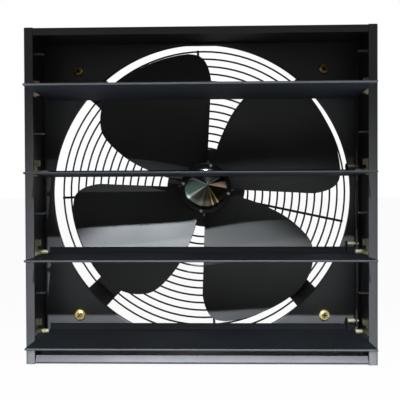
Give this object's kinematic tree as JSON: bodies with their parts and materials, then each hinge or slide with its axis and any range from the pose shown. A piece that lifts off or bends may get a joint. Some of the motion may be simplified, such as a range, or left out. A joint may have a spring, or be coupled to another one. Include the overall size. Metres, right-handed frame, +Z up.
{
  "type": "axial extractor fan",
  "caption": "Axial extractor fan in a black sheet-steel box with linked gravity louvres, a bladed impeller and a rear wire guard.",
  "frame": {"origin": "centre of the casing's underside", "axes": "+X along the louvres, +Y from the louvres towards the motor, +Z up as the fan stands in the picture"},
  "size_m": [0.341, 0.2039, 0.327],
  "materials": {
    "casing_paint": "gloss",
    "louvre_paint": "gloss",
    "impeller_paint": "satin",
    "guard_paint": "satin",
    "hub_black": "satin",
    "cap_chrome": "polished",
    "yellow_zinc": "satin",
    "bright_zinc": "satin",
    "motor_paint": "satin",
    "shaft_steel": "ground",
    "core_steel": "laminated",
    "box_plastic": "moulded"
  },
  "bodies": {
    "frame": {"casing": "casing_paint", "back_plate": "casing_paint", "motor_bracket": "casing_paint", "guard": "guard_paint", "motor_front_cover": "motor_paint", "motor_rear_cover": "motor_paint", "stator": "core_steel", "bearing_front": "shaft_steel", "bearing_rear": "shaft_steel", "terminal_box": "box_plastic", "terminal_box_lid": "box_plastic", "cable_gland": "box_plastic", "bracket_screw_1": "yellow_zinc", "bracket_nut_1": "yellow_zinc", "motor_screw_1": "bright_zinc", "pivot_clip_left_1": "yellow_zinc", "pivot_clip_right_1": "yellow_zinc", "bracket_screw_2": "yellow_zinc", "bracket_nut_2": "yellow_zinc", "motor_screw_2": "bright_zinc", "pivot_clip_left_2": "yellow_zinc", "pivot_clip_right_2": "yellow_zinc", "bracket_screw_3": "yellow_zinc", "bracket_nut_3": "yellow_zinc", "motor_screw_3": "bright_zinc", "pivot_clip_left_3": "yellow_zinc", "pivot_clip_right_3": "yellow_zinc", "bracket_screw_4": "yellow_zinc", "bracket_nut_4": "yellow_zinc", "motor_screw_4": "bright_zinc", "pivot_clip_left_4": "yellow_zinc", "pivot_clip_right_4": "yellow_zinc"},
    "fan_rotor": {"impeller": "impeller_paint", "hub_ring": "hub_black", "hub_cap": "cap_chrome", "hub_rivet_1": "bright_zinc", "hub_rivet_2": "bright_zinc", "hub_rivet_3": "bright_zinc", "hub_rivet_4": "bright_zinc", "shaft": "shaft_steel", "rotor": "core_steel"},
    "louvre_1_leaf": {"louvre_1": "louvre_paint", "pivot_pin_left_1": "yellow_zinc", "pivot_pin_right_1": "yellow_zinc", "link_pin_1": "yellow_zinc"},
    "louvre_2_leaf": {"louvre_2": "louvre_paint", "pivot_pin_left_2": "yellow_zinc", "pivot_pin_right_2": "yellow_zinc", "link_pin_2": "yellow_zinc"},
    "louvre_3_leaf": {"louvre_3": "louvre_paint", "pivot_pin_left_3": "yellow_zinc", "pivot_pin_right_3": "yellow_zinc", "link_pin_3": "yellow_zinc"},
    "louvre_4_leaf": {"louvre_4": "louvre_paint", "pivot_pin_left_4": "yellow_zinc", "pivot_pin_right_4": "yellow_zinc", "link_pin_4": "yellow_zinc"},
    "link_bar": {"tie_bar": "casing_paint"}
  },
  "joints": [
    {"name": "fan_spin", "type": "hinge", "parent": "frame", "child": "fan_rotor", "pos_m": [0.005, 0, 0.1703], "axis": [0, 1, 0], "continuous": true},
    {"name": "louvre_1_swing", "type": "hinge", "parent": "frame", "child": "louvre_1_leaf", "pos_m": [0, -0.006, 0.26806], "axis": [-1, 0, 0], "range_deg": [0, 87]},
    {"name": "louvre_2_swing", "type": "hinge", "parent": "frame", "child": "louvre_2_leaf", "pos_m": [0, -0.006, 0.18706], "axis": [-1, 0, 0], "range_deg": [0, 87]},
    {"name": "louvre_3_swing", "type": "hinge", "parent": "frame", "child": "louvre_3_leaf", "pos_m": [0, -0.006, 0.10606], "axis": [-1, 0, 0], "range_deg": [0, 87]},
    {"name": "louvre_4_swing", "type": "hinge", "parent": "frame", "child": "louvre_4_leaf", "pos_m": [0, -0.006, 0.02506], "axis": [-1, 0, 0], "range_deg": [0, 87]},
    {"name": "tie_bar_link", "type": "hinge", "parent": "louvre_1_leaf", "child": "link_bar", "pos_m": [0.1618, 0.01424, 0.27365], "axis": [-1, 0, 0], "range_deg": [-87, 0]}
  ],
  "couplings": [
    {"joint": "louvre_2_swing", "follows": "louvre_1_swing", "ratio": 1},
    {"joint": "louvre_3_swing", "follows": "louvre_1_swing", "ratio": 1},
    {"joint": "louvre_4_swing", "follows": "louvre_1_swing", "ratio": 1},
    {"joint": "tie_bar_link", "follows": "louvre_1_swing", "ratio": -1}
  ]
}
